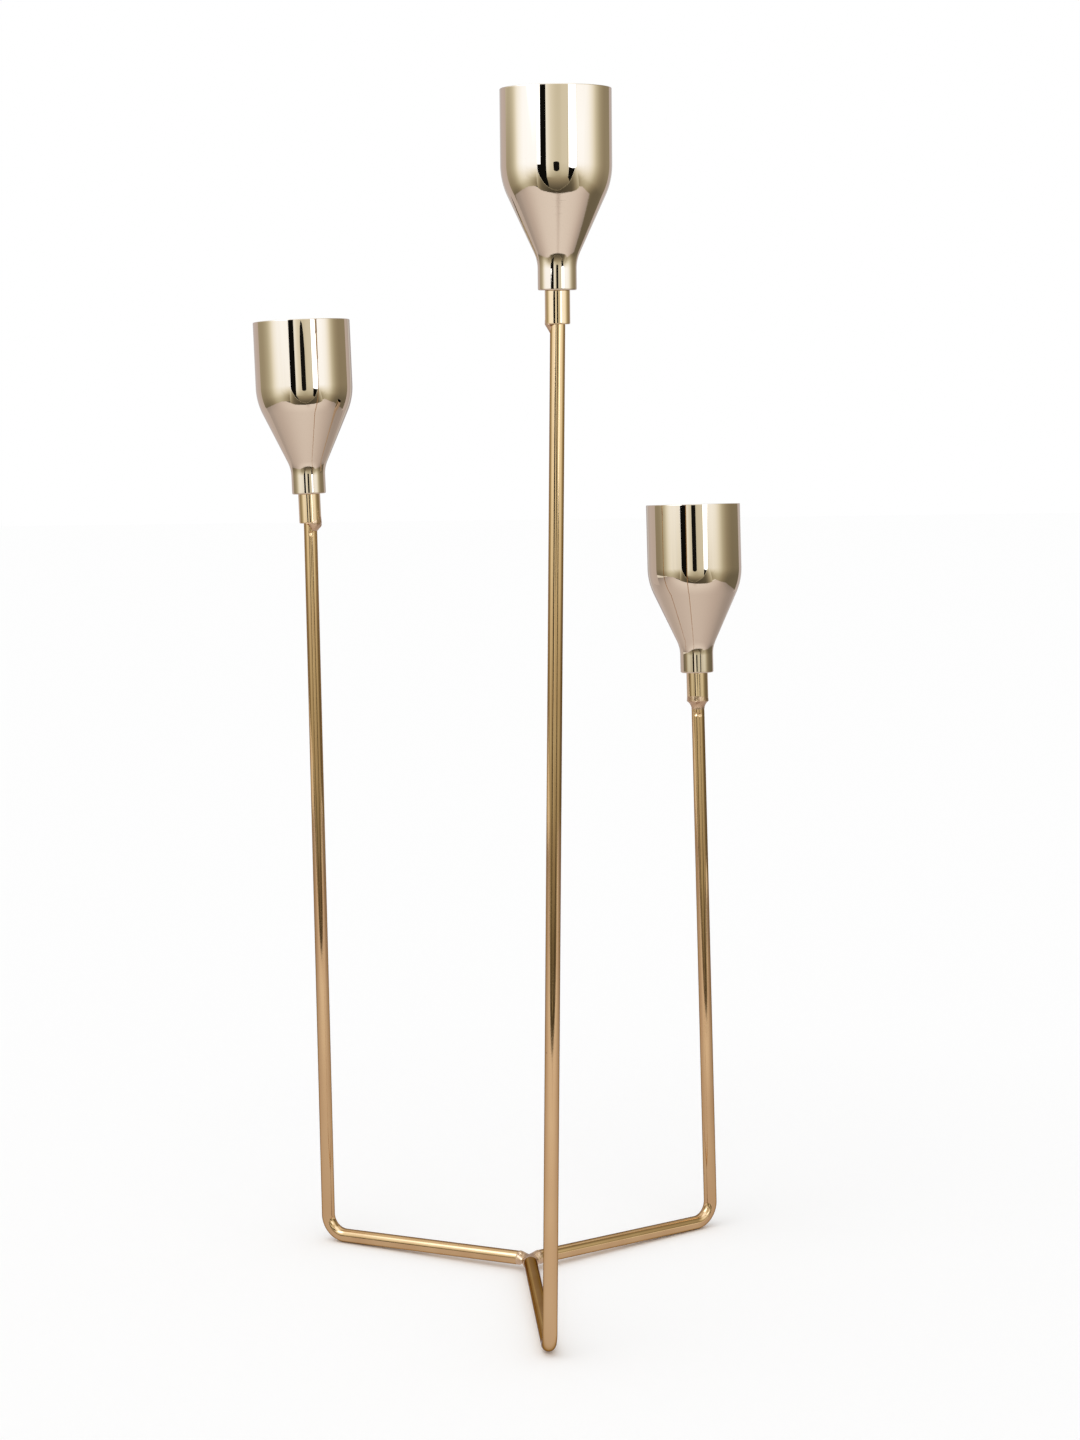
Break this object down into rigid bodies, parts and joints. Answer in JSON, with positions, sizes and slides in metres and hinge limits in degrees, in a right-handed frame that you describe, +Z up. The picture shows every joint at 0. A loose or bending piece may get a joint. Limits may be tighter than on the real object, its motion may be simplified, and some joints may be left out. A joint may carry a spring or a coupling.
{
  "type": "candle stand",
  "caption": "Free-standing candle stand of bent round bars meeting at a low welded hub, with candle cups at stepped heights that screw onto collars.",
  "frame": {"origin": "on the floor below the middle of the welded hub, where the three feet meet", "axes": "+Z up; -Y along the near foot, which carries the tallest upright; the other two feet stand 120 degrees to each side of it"},
  "size_m": [0.226, 0.2211, 0.5091],
  "materials": {
    "cup_brass": "pale champagne gold, mirror polished",
    "bar_brass": "brass-plated bar, polished above, satin towards the feet",
    "weld_metal": "matt coppery weld under the plating",
    "fastener_steel": "zinc-plated steel"
  },
  "bodies": {
    "frame": {"near_bar": "bar_brass", "left_bar": "bar_brass", "right_bar": "bar_brass", "hub_weld": "weld_metal", "near_collar": "bar_brass", "left_collar": "bar_brass", "right_collar": "bar_brass", "near_weld": "weld_metal", "left_weld": "weld_metal", "right_weld": "weld_metal"},
    "near_stud": {"near_stud": "fastener_steel"},
    "near_cup": {"near_cup": "cup_brass", "near_nut": "fastener_steel"},
    "left_stud": {"left_stud": "fastener_steel"},
    "left_cup": {"left_cup": "cup_brass", "left_nut": "fastener_steel"},
    "right_stud": {"right_stud": "fastener_steel"},
    "right_cup": {"right_cup": "cup_brass", "right_nut": "fastener_steel"}
  },
  "joints": [
    {"name": "near_cup_turn", "type": "hinge", "parent": "frame", "child": "near_stud", "pos_m": [0.00615, -0.10911, 0.42944], "axis": [-0.0042, -0.0413, 0.9991], "range_deg": [0, 2160]},
    {"name": "near_cup_climb", "type": "slide", "parent": "near_stud", "child": "near_cup", "axis": [-0.0042, -0.0413, 0.9991], "range_m": [0, 0.0048]},
    {"name": "left_cup_turn", "type": "hinge", "parent": "frame", "child": "left_stud", "pos_m": [-0.09406, 0.05016, 0.3454], "axis": [-0.0335, 0.0073, 0.9994], "range_deg": [0, 2160]},
    {"name": "left_cup_climb", "type": "slide", "parent": "left_stud", "child": "left_cup", "axis": [-0.0335, 0.0073, 0.9994], "range_m": [0, 0.0048]},
    {"name": "right_cup_turn", "type": "hinge", "parent": "frame", "child": "right_stud", "pos_m": [0.08592, 0.06165, 0.25922], "axis": [-0.0128, 0.0396, 0.9991], "range_deg": [0, 2160]},
    {"name": "right_cup_climb", "type": "slide", "parent": "right_stud", "child": "right_cup", "axis": [-0.0128, 0.0396, 0.9991], "range_m": [0, 0.0048]}
  ],
  "couplings": [
    {"joint": "near_cup_climb", "follows": "near_cup_turn", "m_per_rad": 0.00012732},
    {"joint": "left_cup_climb", "follows": "left_cup_turn", "m_per_rad": 0.00012732},
    {"joint": "right_cup_climb", "follows": "right_cup_turn", "m_per_rad": 0.00012732}
  ]
}
